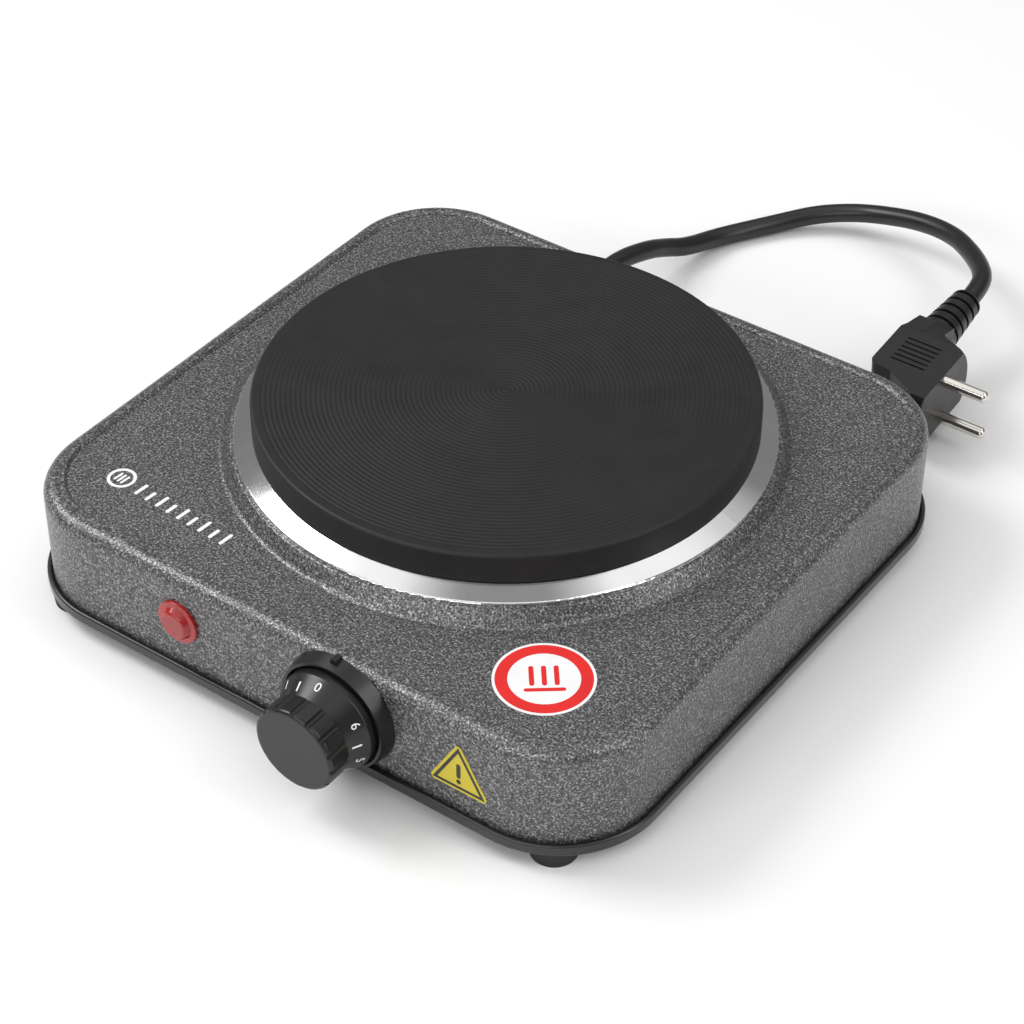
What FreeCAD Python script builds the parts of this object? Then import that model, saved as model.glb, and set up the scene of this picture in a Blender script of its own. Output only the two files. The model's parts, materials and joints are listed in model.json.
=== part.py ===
import FreeCAD, Part
import math
import os
import re

import Sketcher
from FreeCAD import Placement, Rotation, Vector

# A single electric hot plate: a pressed steel housing on a base pan, a cast iron plate in a
# spill ring, a thermostat with its knob and lamp on the front wall, and a lead with its plug.
# Row frame: +Z up, front is -Y, the origin at the middle of the housing on the resting surface.

SIZES = {
    # housing
    "body_width": (255.4, "across the side walls"),
    "body_depth": (246.6, "across the front and back walls"),
    "corner_radius": (37.5, "plan radius of the housing's corners"),
    "sheet_wall": (0.8, "steel sheet"),
    "housing_top": (49.8, "height of the border strip"),
    "edge_fillet": (4.9, "rounded upper edge"),
    "border_side": (7.0, "strip left of and right of the sunk panel"),
    "border_front": (9.2, "strip in front of the sunk panel"),
    "border_back": (6.6, "strip behind the sunk panel"),
    "panel_radius": (31.0, "corner radius of the sunk panel"),
    "step_drop": (1.2, "depth of the sunk panel"),
    "step_slope": (1.0, "bevel of the panel's step"),
    "burner_offset": (9.0, "burner axis behind the middle of the housing"),
    "pedestal_foot": (104.4, "radius of the raised seat at the panel"),
    "pedestal_crest": (100.4, "radius of the raised seat at its top"),
    "pedestal_rise": (5.2, "height of the raised seat over the panel"),
    "pedestal_blend": (2.4, "fillet at the foot of the seat"),
    "opening_radius": (87.2, "hole that the plate hangs in"),
    # base pan
    "rim_bottom": (6.3, "underside of the pan"),
    "pan_sheet": (0.8, "pan sheet"),
    "hem_height": (4.6, "height of the rolled hem"),
    "hem_thickness": (2.1, "rolled hem"),
    "hem_gap": (0.2, "between hem and housing"),
    "slot_length": (40.0, "vent slot"),
    "slot_width": (4.5, "vent slot"),
    "slot_pitch": (13.0, "vent slots"),
    # feet
    "foot_radius": (9.0, "rubber foot"),
    "foot_edge": (7.2, "foot centre in from the corner's wall"),
    "foot_angle": (57.0, "direction of a foot from its corner's centre"),
    "gusset_width": (15.0, "corner plate"),
    "gusset_sheet": (1.5, "corner plate"),
    "screw_radius": (2.0, "M4 shank"),
    "screw_head": (3.7, "screw head radius"),
    "head_height": (2.2, "screw head"),
    # plate
    "plate_radius": (92.5, "cooking plate"),
    "plate_top": (70.0, "height of the cooking surface"),
    "plate_lip": (58.4, "underside of the plate's rim"),
    "plate_edge": (1.3, "rounded rim"),
    "core_radius": (85.4, "plate below its rim"),
    "core_bottom": (54.0, "underside of the plate"),
    "ring_pitch": (1.8, "turned rings of the cooking surface"),
    "ring_width": (1.5, "turned ring"),
    "ring_depth": (0.16, "turned ring"),
    "ring_margin": (3.2, "plain edge outside the turned rings"),
    "channel_inner": (39.0, "middle radius of the inner heating channel"),
    "channel_outer": (67.0, "middle radius of the outer heating channel"),
    "channel_width": (17.0, "heating channel"),
    "channel_depth": (8.0, "heating channel"),
    "coil_radius": (3.2, "wound heating coil"),
    "shield_radius": (84.2, "cover under the plate"),
    "shield_depth": (4.0, "cover under the plate"),
    "shield_sheet": (0.6, "cover under the plate"),
    # trim ring
    "trim_sheet": (0.6, "stainless sheet"),
    "trim_seat": (91.2, "flat part under the plate's rim"),
    "trim_reach": (99.4, "outer radius of the spill ring"),
    "trim_collar": (6.5, "collar that centres the ring"),
    "trim_drop": (3.3, "fall of the ring's slope"),
    # clamp
    "stud_radius": (3.0, "M6 stud"),
    "stud_grip": (8.0, "stud inside the plate"),
    "stud_length": (34.0, "stud"),
    "bridge_width": (22.0, "clamp bridge"),
    "bridge_sheet": (2.0, "clamp bridge"),
    "bridge_drop": (7.8, "bridge under the panel"),
    "bridge_leg": (104.0, "bridge leg from the burner axis"),
    "bridge_foot": (10.0, "bridge foot"),
    "nut_radius": (5.77, "M6 nut across corners, halved"),
    "nut_height": (5.0, "M6 nut"),
    "washer_radius": (8.0, "washer"),
    "washer_sheet": (1.6, "washer"),
    # plate connector
    "connector_x": (-40.0, "ceramic block under the plate"),
    "connector_y": (41.0, "ceramic block under the plate"),
    "connector_width": (34.0, "ceramic block"),
    "connector_depth": (18.0, "ceramic block"),
    "connector_height": (11.0, "ceramic block"),
    "terminal_pitch": (11.0, "terminals side by side"),
    "tab_width": (6.3, "flat terminal"),
    "tab_sheet": (0.8, "flat terminal"),
    "tab_length": (7.0, "plate terminal"),
    "case_tab_length": (8.0, "thermostat terminal"),
    "case_tab_x": (10.0, "thermostat terminal from the shaft"),
    "case_tab_z": (8.0, "thermostat terminal from the shaft"),
    # controls
    "control_x": (28.0, "knob axis"),
    "control_z": (30.5, "knob and lamp height"),
    "bezel_foot": (22.4, "bezel at the wall"),
    "bezel_lip": (21.2, "bezel at its front edge"),
    "bezel_depth": (6.0, "bezel"),
    "bezel_wall": (1.0, "bezel"),
    "bezel_floor": (1.5, "bezel"),
    "nub_width": (2.4, "pointer on the bezel"),
    "skirt_radius": (19.2, "knob skirt"),
    "skirt_back": (4.0, "knob skirt from the wall"),
    "skirt_front": (8.9, "knob skirt's edge from the wall"),
    "dial_front": (16.6, "dial cone meets the grip"),
    "grip_root": (15.2, "grip where it meets the dial"),
    "grip_radius": (16.2, "grip"),
    "knob_reach": (26.2, "knob face from the wall"),
    "grip_flutes": (15, "grooves round the grip"),
    "flute_radius": (1.1, "grip groove"),
    "hub_radius": (6.0, "knob hub"),
    "shaft_radius": (3.0, "control shaft"),
    "shaft_flat": (2.2, "flat of the shaft from its axis"),
    "shaft_front": (17.5, "shaft end from the wall"),
    "shaft_play": (0.05, "running clearance of the shaft"),
    "clip_width": (1.8, "spring clip in the knob"),
    "case_width": (40.0, "thermostat case"),
    "case_height": (26.0, "thermostat case"),
    "case_depth": (26.0, "thermostat case"),
    "case_wall": (2.0, "thermostat case"),
    "plate_sheet": (1.0, "thermostat mounting plate"),
    "fixing_pitch": (28.0, "thermostat screws"),
    "fixing_radius": (1.75, "M3.5 shank"),
    "cam_radius": (4.8, "cam at off"),
    "cam_lift": (0.9, "rise of the cam at full heat"),
    "cam_sweep": (300.0, "turn of the knob"),
    "cam_sheet": (4.0, "cam"),
    "cam_back": (10.0, "middle of the cam behind the wall"),
    "lever_gap": (0.3, "between cam and lever"),
    "lever_arm": (13.0, "cam axis to lever pivot"),
    "lever_sheet": (1.5, "lever"),
    "lever_nose": (0.8, "nose of the lever over the cam"),
    "pivot_radius": (1.0, "lever pivot pin"),
    "contact_radius": (1.4, "contacts"),
    "contact_sheet": (0.6, "moving contact"),
    "contact_travel": (2.1, "opening between the contacts at off"),
    # lamp
    "lamp_x": (-44.4, "signal lamp"),
    "lamp_flange": (8.7, "lamp flange"),
    "lamp_stem": (5.5, "lamp stem"),
    "lamp_height": (3.6, "lamp dome from the wall"),
    "lamp_depth": (14.0, "lamp behind the wall"),
    # cord entry
    "cord_x": (-54.0, "cord gland"),
    "cord_z": (19.6, "cord gland"),
    "cord_radius": (4.0, "supply cord"),
    "gland_flange": (8.4, "gland"),
    "gland_neck": (6.6, "gland sleeve at the wall"),
    "gland_tip": (5.2, "gland sleeve at its end"),
    "gland_reach": (26.2, "gland sleeve"),
    "cord_straight": (17.0, "cord straight out of the gland and the plug"),
    "lock_sheet": (1.6, "ring that holds the gland"),
    "clamp_screw": (2.8, "cord clamp screw head"),
    "terminal_screw": (1.9, "terminal screw head"),
    "tail_length": (24.0, "cord inside the housing"),
    "clamp_length": (10.0, "cord clamp along the cord"),
    "clamp_width": (30.0, "cord clamp across the cord"),
    "strap_sheet": (1.2, "cord clamp strap"),
    "block_width": (36.0, "terminal block"),
    "block_depth": (20.0, "terminal block"),
    "block_height": (15.0, "terminal block"),
    "earth_x": (-88.0, "earth screw on the bridge"),
    "earth_head": (3.4, "earth screw"),
    "earth_sheet": (1.6, "earth screw"),
    "block_gap": (14.0, "cord tail to terminal block"),
    "lead_radius": (1.3, "insulated lead"),
    # plug
    "plug_x": (102.4, "middle of the plug's face"),
    "plug_y": (157.4, "middle of the plug's face"),
    "plug_radius": (20.0, "plug face"),
    "plug_rim": (7.0, "plug disc"),
    "plug_depth": (30.0, "plug body behind its face"),
    "plug_roll": (6.0, "plug leans on its rim"),
    "neck_back": (20.5, "cord axis behind the plug's face"),
    "neck_start": (31.0, "ribbed sleeve from the pins' axis"),
    "neck_end": (56.0, "ribbed sleeve's end"),
    "neck_radius": (8.2, "ribbed sleeve at the plug"),
    "neck_tip": (6.2, "ribbed sleeve at the cord"),
    "neck_ribs": (5, "grooves of the ribbed sleeve"),
    "grip_half": (12.4, "half thickness of the plug's grip"),
    "grip_near": (17.0, "top of the plug's grip, towards the cord"),
    "grip_far": (7.5, "top of the plug's grip, away from the cord"),
    "rib_count": (6, "grooves of the finger panel"),
    "rib_length": (15.0, "groove of the finger panel"),
    "rib_width": (0.9, "groove of the finger panel"),
    "rib_depth": (0.5, "groove of the finger panel"),
    "rib_span": (13.5, "finger panel along the cord"),
    "rib_back": (15.5, "middle of the finger panel behind the face"),
    "pin_radius": (2.4, "plug pin"),
    "pin_length": (19.0, "plug pin"),
    "pin_pitch": (19.0, "plug pins"),
    # labels
    "label_sheet": (0.15, "printed labels"),
    "round_label": (17.4, "round label"),
    "round_label_x": (86.0, "round label"),
    "round_label_y": (-88.5, "round label"),
    "triangle_side": (25.0, "triangular label"),
    "triangle_x": (76.6, "triangular label"),
    "triangle_z": (26.8, "triangular label"),
}

doc = FreeCAD.newDocument("HotPlate")
sheet = doc.addObject("Spreadsheet::Sheet", "Sizes")
for row, (name, (number, note)) in enumerate(SIZES.items(), 1):
    sheet.set(f"A{row}", name)
    sheet.set(f"B{row}", str(number))
    sheet.set(f"C{row}", note)
    sheet.setAlias(f"B{row}", name)
doc.recompute()

probe = doc.addObject("App::FeaturePython", "Probe")
probe.addProperty("App::PropertyFloat", "Reading")
nodes = []

# heights and planes that several pieces share, as formulas of the sizes
FRONT = "(-body_depth / 2)"
BACK = "(body_depth / 2)"
FLOOR = "(rim_bottom + pan_sheet)"
HEM_TOP = "(rim_bottom + hem_height)"
PANEL = "(housing_top - step_drop)"
CEILING = "(housing_top - step_drop - sheet_wall)"
SEAT = "(housing_top - step_drop + pedestal_rise)"
CHANNEL_TOP = "(core_bottom + channel_depth)"
BRIDGE_TOP = "(housing_top - step_drop - bridge_drop)"
BRIDGE_BOTTOM = "(housing_top - step_drop - bridge_drop - bridge_sheet)"
NECK_LOW = "(-neck_back - neck_radius + 0.4)"
NECK_HIGH = "(-neck_back + neck_radius - 0.4)"
TAB_MIDDLE = "(control_z + case_tab_z + tab_sheet / 2)"
CONNECTOR = "(core_bottom - shield_depth - connector_height)"
FOOT_X = "(body_width / 2 - corner_radius + (corner_radius - foot_edge) * cos(foot_angle))"
FOOT_Y = "(body_depth / 2 - corner_radius + (corner_radius - foot_edge) * sin(foot_angle))"
CAVITY = "(sheet_wall + plate_sheet)"
CORNERS = ((1, 1, 0), (-1, 1, 90), (-1, -1, 180), (1, -1, 270))

RINGS_PER_SKETCH = 7

TO_FRONT = Rotation(Vector(1, 0, 0), 90)
TO_BACK = Rotation(Vector(1, 0, 0), -90)


def linked(text):
    """The same formula with each size's name pointing into the sheet."""
    return re.sub(r"[a-z][a-z_]*", lambda m: "Sizes." + m.group() if m.group() in SIZES else m.group(),
                  str(text))


def bind(thing, prop, text):
    thing.setExpression(prop, linked(text))


def value(text):
    """The present value of a formula."""
    bind(probe, "Reading", text)
    probe.recompute()
    return probe.Reading


def place(thing, x="0", y="0", z="0", turn=None):
    if turn is not None:
        thing.Placement = Placement(Vector(), turn)
    for axis, text in zip("xyz", (x, y, z)):
        bind(thing, "Placement.Base." + axis, text)
    return thing


def node(thing, label):
    thing.Label = label
    nodes.append(thing)
    return thing


# ---------------------------------------------------------------- sketches and features

def new_body(name):
    return doc.addObject("PartDesign::Body", name)


def sketch_on(body, name, role="XY_Plane", lift="0", rise="0"):
    """A sketch on one of the body's own planes, lifted off it or with its axes moved up."""
    sketch = body.newObject("Sketcher::SketchObject", name)
    plane = next(f for f in body.Origin.OriginFeatures if f.Role == role)
    sketch.AttachmentSupport = [(plane, "")]
    sketch.MapMode = "FlatFace"
    bind(sketch, "AttachmentOffset.Base.z", lift)
    bind(sketch, "AttachmentOffset.Base.y", rise)
    return sketch


def hold(sketch, rules):
    """Adds constraints together. A rule is a constraint's arguments, with a formula last where
    the constraint has a size."""
    made_rules = []
    formulas = {}
    for kind, *parts in rules:
        if isinstance(parts[-1], str):
            formulas[len(made_rules)] = parts[-1]
            parts[-1] = value(parts[-1])
        made_rules.append(Sketcher.Constraint(kind, *parts))
    first = sketch.ConstraintCount
    sketch.addConstraint(made_rules)
    for offset, text in formulas.items():
        bind(sketch, f"Constraints[{first + offset}]", text)


def pinned(geometry, end, x, y):
    return [("DistanceX", -1, 1, geometry, end, str(x)), ("DistanceY", -1, 1, geometry, end, str(y))]


def outline(sketch, corners):
    """A closed outline through (x, y) or (x, y, radius) corners, each given as a formula."""
    spots = [Vector(value(c[0]), value(c[1]), 0) for c in corners]
    count = len(corners)
    cuts = []
    for i, corner in enumerate(corners):
        spot = spots[i]
        back = (spots[i - 1] - spot).normalize()
        ahead = (spots[(i + 1) % count] - spot).normalize()
        if len(corner) == 2:
            cuts.append((spot, spot, None))
            continue
        radius = value(corner[2])
        reach = radius / math.tan(back.getAngle(ahead) / 2)
        centre = spot + (back + ahead).normalize() * math.hypot(radius, reach)
        cuts.append((spot + back * reach, spot + ahead * reach, centre))
    lines = [Part.LineSegment(cuts[i][1], cuts[(i + 1) % count][0]) for i in range(count)]
    sides = sketch.addGeometry(lines, False)
    rules = []
    for i, corner in enumerate(corners):
        before, after = sides[i - 1], sides[i]
        start, finish, centre = cuts[i]
        if centre is None:
            rules.append(("Coincident", before, 2, after, 1))
            rules += pinned(after, 1, corner[0], corner[1])
            continue
        turning = (start - centre).cross(finish - centre).z
        first, last = (start, finish) if turning > 0 else (finish, start)
        angles = [math.atan2(p.y - centre.y, p.x - centre.x) for p in (first, last)]
        round_part = Part.Circle(centre, Vector(0, 0, 1), (start - centre).Length)
        arc = sketch.addGeometry(Part.ArcOfCircle(round_part, angles[0], angles[1]), False)
        mark = sketch.addGeometry(Part.Point(spots[i]), True)
        ends = (1, 2) if turning > 0 else (2, 1)
        rules += pinned(mark, 1, corner[0], corner[1])
        rules += [("PointOnObject", mark, 1, before), ("PointOnObject", mark, 1, after),
                  ("Tangent", before, 2, arc, ends[0]), ("Tangent", after, 1, arc, ends[1]),
                  ("Radius", arc, str(corner[2]))]
    hold(sketch, rules)
    return sketch


def rectangle(sketch, width, depth, radius=None, x="0", y="0"):
    corners = [(f"{x} + {i} * ({width}) / 2", f"{y} + {j} * ({depth}) / 2")
               for i, j in ((1, -1), (1, 1), (-1, 1), (-1, -1))]
    if radius is not None:
        corners = [corner + (radius,) for corner in corners]
    return outline(sketch, corners)


def circle(sketch, x, y, radius):
    spot = Vector(value(x), value(y), 0)
    ring = sketch.addGeometry(Part.Circle(spot, Vector(0, 0, 1), value(radius)), False)
    hold(sketch, pinned(ring, 3, x, y) + [("Radius", ring, str(radius))])


def pad(body, sketch, length, middle=False):
    feature = body.newObject("PartDesign::Pad", sketch.Name + "Pad")
    feature.Profile = sketch
    bind(feature, "Length", length)
    feature.Midplane = middle
    return feature


def pocket(body, sketch, length, upward=False):
    """Cuts down from the sketch, or up from it."""
    feature = body.newObject("PartDesign::Pocket", sketch.Name + "Pocket")
    feature.Profile = sketch
    bind(feature, "Length", length)
    feature.Reversed = upward
    return feature


def turn(body, sketch, kind="Revolution", axis="V_Axis"):
    feature = body.newObject("PartDesign::" + kind, sketch.Name + kind)
    feature.Profile = sketch
    feature.ReferenceAxis = (sketch, [axis])
    feature.Angle = 360
    return feature


def repeat(body, feature, axis, count, length=None):
    """A feature repeated round an axis, or along it over a length."""
    kind = "PolarPattern" if length is None else "LinearPattern"
    pattern = body.newObject("PartDesign::" + kind, feature.Name + "Row")
    pattern.Originals = [feature]
    line = next(f for f in body.Origin.OriginFeatures if f.Role == axis)
    if length is None:
        pattern.Axis = (line, [""])
        pattern.Angle = 360
    else:
        pattern.Direction = (line, [""])
        bind(pattern, "Length", length)
    bind(pattern, "Occurrences", count)
    body.Tip = pattern
    return pattern


def soften(body, feature, heights, amount, kind="Fillet", inside=None):
    """Rounds or bevels every level edge at the given heights, or only those near an outline."""
    doc.recompute()
    wanted = [value(height) for height in heights]
    names = []
    for number, edge in enumerate(feature.Shape.Edges, 1):
        box = edge.BoundBox
        level = any(abs(box.ZMin - z) < 1e-4 and abs(box.ZMax - z) < 1e-4 for z in wanted)
        if level and (inside is None or inside(edge)):
            names.append(f"Edge{number}")
    dress = body.newObject("PartDesign::" + kind, feature.Name + kind)
    dress.Base = (feature, names)
    bind(dress, "Radius" if kind == "Fillet" else "Size", amount)
    return dress


def turned(label, corners):
    """A body turned about its own Z axis from an outline of (radius, height) corners."""
    body = new_body(label)
    outline_sketch = outline(sketch_on(body, label + "Outline", "XZ_Plane"), corners)
    turn(body, outline_sketch)
    return node(body, label)


# ---------------------------------------------------------------- primitives

def cylinder(name, radius, height, x="0", y="0", z="0", rotation=None, angle="360"):
    rod = doc.addObject("Part::Cylinder", name)
    bind(rod, "Radius", radius)
    bind(rod, "Height", height)
    bind(rod, "Angle", angle)
    return place(rod, x, y, z, rotation)


def cone(name, bottom, top, height, x="0", y="0", z="0", rotation=None):
    taper = doc.addObject("Part::Cone", name)
    bind(taper, "Radius1", bottom)
    bind(taper, "Radius2", top)
    bind(taper, "Height", height)
    return place(taper, x, y, z, rotation)


def brick(name, length, width, height, x="0", y="0", z="0"):
    """A box, its middle at x and y and its underside at z."""
    block = doc.addObject("Part::Box", name)
    bind(block, "Length", length)
    bind(block, "Width", width)
    bind(block, "Height", height)
    return place(block, f"{x} - ({length}) / 2", f"{y} - ({width}) / 2", z)


def joined(name, shapes):
    fuse = doc.addObject("Part::MultiFuse", name)
    fuse.Shapes = shapes
    return fuse


def less(name, base, tools):
    cut = doc.addObject("Part::Cut", name)
    cut.Base = base
    cut.Tool = tools[0] if len(tools) == 1 else joined(name + "Tools", tools)
    return cut


def group(name, shapes):
    """Separate solids that share one node."""
    bundle = doc.addObject("Part::Compound", name)
    bundle.Links = shapes
    return bundle


def made(label, shape):
    """A piece whose shape is made in code from the sheet's values."""
    piece = doc.addObject("Part::Feature", label)
    piece.Shape = shape
    return node(piece, label)


# ---------------------------------------------------------------- tubes

def bent_path(points, share=0.45):
    """Straight runs joined by tangent arcs. Each arc's radius is a share of its shorter run,
    divided by the tangent of half the turn."""
    edges = []
    radii = []
    start = points[0]
    for before, corner, after in zip(points, points[1:], points[2:]):
        back = before - corner
        ahead = after - corner
        reach = share * min(back.Length, ahead.Length)
        back.normalize()
        ahead.normalize()
        half_turn = (math.pi - back.getAngle(ahead)) / 2
        radius = reach / math.tan(half_turn)
        inward = (back + ahead).normalize()
        first = corner + back * reach
        last = corner + ahead * reach
        middle = corner + inward * (math.hypot(radius, reach) - radius)
        edges.append(Part.LineSegment(start, first).toShape())
        edges.append(Part.Arc(first, middle, last).toShape())
        radii.append(radius)
        start = last
    edges.append(Part.LineSegment(start, points[-1]).toShape())
    return Part.Wire(edges), radii


def tube(points, radius):
    path, radii = bent_path(points)
    section = Part.Wire(Part.makeCircle(radius, points[0], points[1] - points[0]))
    solid = path.makePipeShell([section], True, False)
    wanted = math.pi * radius ** 2 * path.Length
    if abs(solid.Volume / wanted - 1) > 0.01:
        raise ValueError(f"tube volume {solid.Volume:.0f} should be {wanted:.0f}")
    return solid, path.Length, radii


def lead(label, route):
    """An insulated lead through points given as formulas."""
    points = [Vector(*(value(text) for text in spot)) for spot in route]
    return made(label, tube(points, value("lead_radius"))[0])


# ---------------------------------------------------------------- housing

def housing_block(name, inset, bottom, top):
    """The housing's plan, drawn in by inset, standing from bottom to top with a rounded edge."""
    body = new_body(name)
    plan = sketch_on(body, name + "Plan", lift=bottom)
    rectangle(plan, f"body_width - 2 * ({inset})", f"body_depth - 2 * ({inset})",
              f"corner_radius - ({inset})")
    block = pad(body, plan, f"{top} - {bottom}")
    soften(body, block, (top,), f"edge_fillet - ({inset})")
    return body


def top_housing():
    outer = housing_block("HousingOuter", "0", FLOOR, "housing_top")
    panel = sketch_on(outer, "PanelPlan", lift="housing_top")
    rectangle(panel, "body_width - 2 * border_side", "body_depth - border_front - border_back",
              "panel_radius", y="(border_front - border_back) / 2")
    sunk = pocket(outer, panel, "step_drop")
    soften(outer, sunk, ("housing_top",), "step_slope", "Chamfer", is_panel_edge)
    inner = housing_block("HousingInner", "sheet_wall", f"({FLOOR} - 1)", CEILING)

    seat = new_body("Pedestal")
    rim = "pedestal_foot + pedestal_blend * 0.6"
    outline(sketch_on(seat, "PedestalOutline", "XZ_Plane"),
            [("0", CEILING), (rim, CEILING), (rim, PANEL), ("pedestal_foot", PANEL, "pedestal_blend"),
             ("pedestal_crest", SEAT, "pedestal_blend / 2"), ("0", SEAT)])
    turn(seat, seat.Group[0])
    place(seat, y="burner_offset")
    hollow = cone("PedestalHollow", "pedestal_foot - sheet_wall * 1.6", "pedestal_crest - sheet_wall * 1.6",
                  "pedestal_rise", y="burner_offset", z=CEILING)
    opening = cylinder("PlateOpening", "opening_radius", "pedestal_rise * 3", y="burner_offset", z=CEILING)

    through = "sheet_wall * 4"
    front = f"{FRONT} + sheet_wall * 2"
    tools = [inner, hollow, opening,
             cylinder("ShaftHole", "hub_radius - 1.5", through, "control_x", front, "control_z", TO_FRONT),
             cylinder("LampHole", "lamp_stem + 0.1", through, "lamp_x", front, "control_z", TO_FRONT),
             cylinder("CordHole", "gland_neck + 0.1", through, "cord_x",
                      f"{BACK} - sheet_wall * 2", "cord_z", TO_BACK)]
    for side in (-1, 1):
        tools.append(cylinder("FixingHole", "fixing_radius + 0.1", through,
                              f"control_x + {side} * fixing_pitch / 2", front, "control_z", TO_FRONT))
    return node(less("Housing", joined("HousingSkin", [outer, seat]), tools), "top_housing")


def is_panel_edge(edge):
    """An edge of the sunk panel's step, not of the housing's outer border."""
    box = edge.BoundBox
    reach_x = value("body_width / 2 - edge_fillet") + 1e-3
    reach_y = value("body_depth / 2 - edge_fillet") + 1e-3
    middle = edge.valueAt((edge.FirstParameter + edge.LastParameter) / 2)
    outermost_x = abs(box.Center.x) + box.XLength / 2 > reach_x - 0.01
    outermost_y = abs(box.Center.y) + box.YLength / 2 > reach_y - 0.01
    panel_x = value("body_width / 2 - border_side") + 1e-3
    corner = math.hypot(max(abs(middle.x) - value("body_width / 2 - corner_radius"), 0),
                        max(abs(middle.y) - value("body_depth / 2 - corner_radius"), 0))
    at_outer_corner = abs(corner - value("corner_radius - edge_fillet")) < 0.01
    return not (outermost_x or outermost_y or at_outer_corner) and abs(middle.x) < panel_x


def base_pan():
    body = new_body("base_pan")
    hem = sketch_on(body, "PanPlan", lift="rim_bottom")
    grow = "(hem_gap + hem_thickness)"
    rectangle(hem, f"body_width + 2 * {grow}", f"body_depth + 2 * {grow}", f"corner_radius + {grow}")
    block = pad(body, hem, "hem_height")
    dish = sketch_on(body, "PanDish", lift=HEM_TOP)
    rectangle(dish, "body_width + 2 * hem_gap", "body_depth + 2 * hem_gap", "corner_radius + hem_gap")
    hollowed = pocket(body, dish, "hem_height - pan_sheet")
    soften(body, hollowed, ("rim_bottom", HEM_TOP), "hem_thickness * 0.42")
    holes = sketch_on(body, "PanHoles", lift="rim_bottom")
    for i, j, _ in CORNERS:
        circle(holes, f"{i} * {FOOT_X}", f"{j} * {FOOT_Y}", "screw_radius + 0.1")
    pocket(body, holes, "pan_sheet + 1", upward=True)
    for line in (-1, 1):
        slot = sketch_on(body, "VentSlot", lift="rim_bottom")
        rectangle(slot, "slot_width", "slot_length", "slot_width / 2 - 0.05", "-3 * slot_pitch",
                  f"{line} * (slot_length / 2 + slot_pitch / 2)")
        repeat(body, pocket(body, slot, "pan_sheet + 1", upward=True), "X_Axis", "7", "6 * slot_pitch")
    return node(body, "base_pan")


def feet():
    """Four rubber feet on their screws, and the corner plates that the screws pull up to."""
    rubber, screws, plates = [], [], []
    for i, j, degrees in CORNERS:
        x = f"{i} * {FOOT_X}"
        y = f"{j} * {FOOT_Y}"
        foot = cone("FootCone", "foot_radius - 0.6", "foot_radius", "rim_bottom", x, y)
        well = cylinder("FootWell", "screw_head + 0.3", "head_height + 0.8", x, y)
        bore = cylinder("FootBore", "screw_radius + 0.1", "rim_bottom", x, y)
        rubber.append(less("Foot", foot, [well, bore]))
        head = cylinder("FootScrewHead", "screw_head", "head_height", x, y, "0.8")
        shank = cylinder("FootScrewShank", "screw_radius", f"{FLOOR} + gusset_sheet + 3 - 0.8", x, y, "0.8")
        screws.append(joined("FootScrew", [head, shank]))
        cx = f"{i} * (body_width / 2 - corner_radius)"
        cy = f"{j} * (body_depth / 2 - corner_radius)"
        arc = Rotation(Vector(0, 0, 1), degrees)
        disc = cylinder("GussetDisc", "corner_radius - sheet_wall", "gusset_sheet", cx, cy, FLOOR, arc, "90")
        inner = cylinder("GussetInner", "corner_radius - sheet_wall - gusset_width", "gusset_sheet * 3",
                         cx, cy, f"{FLOOR} - gusset_sheet", arc)
        hole = cylinder("GussetHole", "screw_radius + 0.02", "gusset_sheet * 3", x, y,
                        f"{FLOOR} - gusset_sheet")
        plates.append(less("Gusset", disc, [inner, hole]))
    node(group("Feet", rubber), "rubber_feet")
    node(group("FootScrews", screws), "foot_screws")
    node(group("Gussets", plates), "corner_plates")


# ---------------------------------------------------------------- burner

def hot_plate():
    body = new_body("hot_plate")
    corners = [("0", f"core_bottom + stud_grip"), ("stud_radius + 0.05", f"core_bottom + stud_grip"),
               ("stud_radius + 0.05", "core_bottom")]
    for middle in ("channel_inner", "channel_outer"):
        inner = f"{middle} - channel_width / 2"
        outer = f"{middle} + channel_width / 2"
        corners += [(inner, "core_bottom"), (inner, CHANNEL_TOP), (outer, CHANNEL_TOP), (outer, "core_bottom")]
    corners += [("core_radius", "core_bottom"), ("core_radius", "plate_lip"), ("plate_radius", "plate_lip"),
                ("plate_radius", "plate_top", "plate_edge"), ("0", "plate_top")]
    turn(body, outline(sketch_on(body, "PlateOutline", "XZ_Plane"), corners))
    count = int(value("(plate_radius - ring_margin) / ring_pitch"))
    for first in range(1, count + 1, RINGS_PER_SKETCH):
        rings = sketch_on(body, "TurnedRings", "XZ_Plane")
        for number in range(first, min(first + RINGS_PER_SKETCH, count + 1)):
            middle = f"{number} * ring_pitch"
            outline(rings, [(f"{middle} - ring_width / 2", "plate_top + 0.01"),
                            (middle, "plate_top - ring_depth"),
                            (f"{middle} + ring_width / 2", "plate_top + 0.01")])
        turn(body, rings, "Groove")
    place(body, y="burner_offset")
    return node(body, "hot_plate")


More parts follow.
